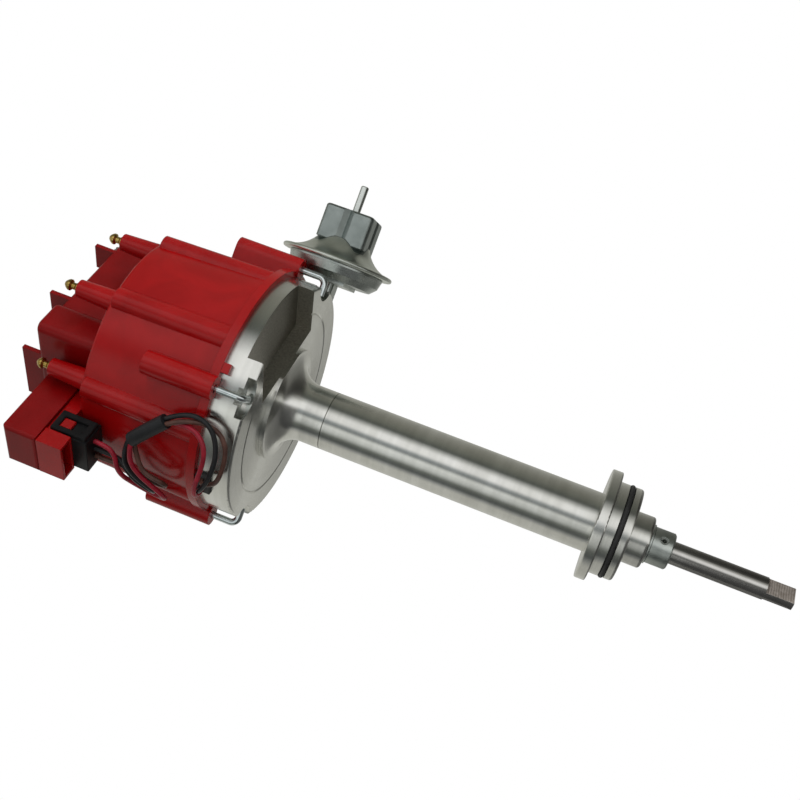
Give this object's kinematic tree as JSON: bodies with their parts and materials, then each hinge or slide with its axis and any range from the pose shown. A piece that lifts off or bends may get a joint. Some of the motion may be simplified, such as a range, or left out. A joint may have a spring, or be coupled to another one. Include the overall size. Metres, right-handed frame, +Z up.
{
  "type": "ignition distributor",
  "caption": "Ignition distributor with a long machined housing, red cap with coil cover, vacuum advance canister and tang drive.",
  "frame": {"origin": "on the shaft's axis, in the plane of the flange's seat on the engine", "axes": "+Z up the shaft's axis towards the cap; +X from the axis towards the vacuum canister"},
  "size_m": [0.2159, 0.1618, 0.435],
  "materials": {
    "machined_aluminium": "fine turned",
    "nitrile_rubber": "moulded",
    "ground_steel": "ground",
    "zinc_steel": "zinc plated",
    "sintered_bronze": "sintered",
    "red_cap": "moulded gloss",
    "red_cover": "moulded satin",
    "brass": "turned",
    "screw_steel": "zinc plated",
    "lamination_steel": "stamped",
    "potted_winding": "potted",
    "carbon": "pressed",
    "black_nylon": "moulded",
    "zinc_plate": "zinc plated",
    "spring_steel": "drawn",
    "bright_zinc": "bright zinc",
    "pressed_steel": "pressed",
    "ferrite": "sintered",
    "rotor_plastic": "moulded",
    "capacitor_can": "drawn",
    "wire_red_pvc": "extruded",
    "wire_black_pvc": "extruded",
    "wire_brown_pvc": "extruded",
    "black_sleeve": "extruded"
  },
  "bodies": {
    "housing_body": {"bracket_screws": "screw_steel", "cap": "red_cap", "capacitor": "capacitor_can", "carbon_button": "carbon", "coil_core": "lamination_steel", "coil_cover": "red_cover", "coil_seal": "nitrile_rubber", "coil_winding": "potted_winding", "cover_screws": "screw_steel", "harness_plug": "black_nylon", "housing": "machined_aluminium", "ignition_module": "black_nylon", "lower_bush": "sintered_bronze", "module_screws": "screw_steel", "pilot_o_ring": "nitrile_rubber", "spark_terminal_1": "brass", "spark_terminal_2": "brass", "spark_terminal_3": "brass", "spark_terminal_4": "brass", "spark_terminal_5": "brass", "spark_terminal_6": "brass", "spark_terminal_7": "brass", "spark_terminal_8": "brass", "upper_bush": "sintered_bronze", "vacuum_bracket": "zinc_steel", "vacuum_cover": "zinc_plate", "vacuum_cup": "zinc_plate", "vacuum_nipple": "zinc_plate", "vacuum_spring": "spring_steel", "wire_black": "wire_black_pvc", "wire_brown": "wire_brown_pvc", "wire_grommet": "nitrile_rubber", "wire_red": "wire_red_pvc", "wire_sleeve": "black_sleeve"},
    "drive": {"shaft": "ground_steel", "shaft_collar": "zinc_steel", "roll_pin": "ground_steel", "thrust_washer": "ground_steel", "advance_cam": "pressed_steel"},
    "advance": {"timer_core": "lamination_steel", "weight_base": "pressed_steel", "rotor": "rotor_plastic", "rotor_blade": "brass", "rotor_screws": "screw_steel"},
    "weight_1": {"advance_weight_1": "pressed_steel"},
    "weight_2": {"advance_weight_2": "pressed_steel"},
    "pickup": {"pickup_plate": "pressed_steel", "pickup_magnet": "ferrite", "pickup_coil": "potted_winding", "pole_piece": "lamination_steel"},
    "vacuum_pull": {"diaphragm": "nitrile_rubber", "diaphragm_rod": "zinc_steel"},
    "latch_1_press": {"latch_spring_1": "spring_steel"},
    "latch_1": {"latch_hook_1": "bright_zinc"},
    "latch_2_press": {"latch_spring_2": "spring_steel"},
    "latch_2": {"latch_hook_2": "bright_zinc"},
    "latch_3_press": {"latch_spring_3": "spring_steel"},
    "latch_3": {"latch_hook_3": "bright_zinc"},
    "latch_4_press": {"latch_spring_4": "spring_steel"},
    "latch_4": {"latch_hook_4": "bright_zinc"}
  },
  "joints": [
    {"name": "shaft_spin", "type": "hinge", "parent": "housing_body", "child": "drive", "pos_m": [0, 0, 0], "axis": [0, 0, 1], "continuous": true},
    {"name": "centrifugal_advance", "type": "hinge", "parent": "drive", "child": "advance", "pos_m": [0, 0, 0.22], "axis": [0, 0, 1], "range_deg": [0, 12], "stiffness_Nm_per_rad": 0.05},
    {"name": "weight_1_swing", "type": "hinge", "parent": "advance", "child": "weight_1", "pos_m": [0, 0.02, 0.226], "axis": [0, 0, -1], "range_deg": [0, 12]},
    {"name": "weight_2_swing", "type": "hinge", "parent": "advance", "child": "weight_2", "pos_m": [0, -0.02, 0.226], "axis": [0, 0, -1], "range_deg": [0, 12]},
    {"name": "vacuum_slide", "type": "slide", "parent": "housing_body", "child": "vacuum_pull", "axis": [1, 0, 0], "range_m": [0, 0.004], "stiffness_N_per_m": 1500},
    {"name": "pickup_turn", "type": "hinge", "parent": "housing_body", "child": "pickup", "pos_m": [0, 0, 0.203], "axis": [0, 0, -1], "range_deg": [0, 7.7]},
    {"name": "latch_1_push", "type": "slide", "parent": "housing_body", "child": "latch_1_press", "axis": [0, 0, -1], "range_m": [0, 0.003], "stiffness_N_per_m": 2500, "deforming": ["latch_spring_1"]},
    {"name": "latch_1_turn", "type": "hinge", "parent": "latch_1_press", "child": "latch_1", "pos_m": [0.0745, 0, 0.22], "axis": [0, 0, 1], "range_deg": [0, 100]},
    {"name": "latch_2_push", "type": "slide", "parent": "housing_body", "child": "latch_2_press", "axis": [0, 0, -1], "range_m": [0, 0.003], "stiffness_N_per_m": 2500, "deforming": ["latch_spring_2"]},
    {"name": "latch_2_turn", "type": "hinge", "parent": "latch_2_press", "child": "latch_2", "pos_m": [0, 0.0745, 0.22], "axis": [0, 0, 1], "range_deg": [0, 100]},
    {"name": "latch_3_push", "type": "slide", "parent": "housing_body", "child": "latch_3_press", "axis": [0, 0, -1], "range_m": [0, 0.003], "stiffness_N_per_m": 2500, "deforming": ["latch_spring_3"]},
    {"name": "latch_3_turn", "type": "hinge", "parent": "latch_3_press", "child": "latch_3", "pos_m": [-0.0745, 0, 0.22], "axis": [0, 0, 1], "range_deg": [0, 100]},
    {"name": "latch_4_push", "type": "slide", "parent": "housing_body", "child": "latch_4_press", "axis": [0, 0, -1], "range_m": [0, 0.003], "stiffness_N_per_m": 2500, "deforming": ["latch_spring_4"]},
    {"name": "latch_4_turn", "type": "hinge", "parent": "latch_4_press", "child": "latch_4", "pos_m": [0, -0.0745, 0.22], "axis": [0, 0, 1], "range_deg": [0, 100]}
  ],
  "couplings": [
    {"joint": "weight_1_swing", "follows": "centrifugal_advance", "ratio": 1},
    {"joint": "weight_2_swing", "follows": "centrifugal_advance", "ratio": 1},
    {"joint": "pickup_turn", "follows": "vacuum_slide", "rad_per_m": 33.333}
  ]
}
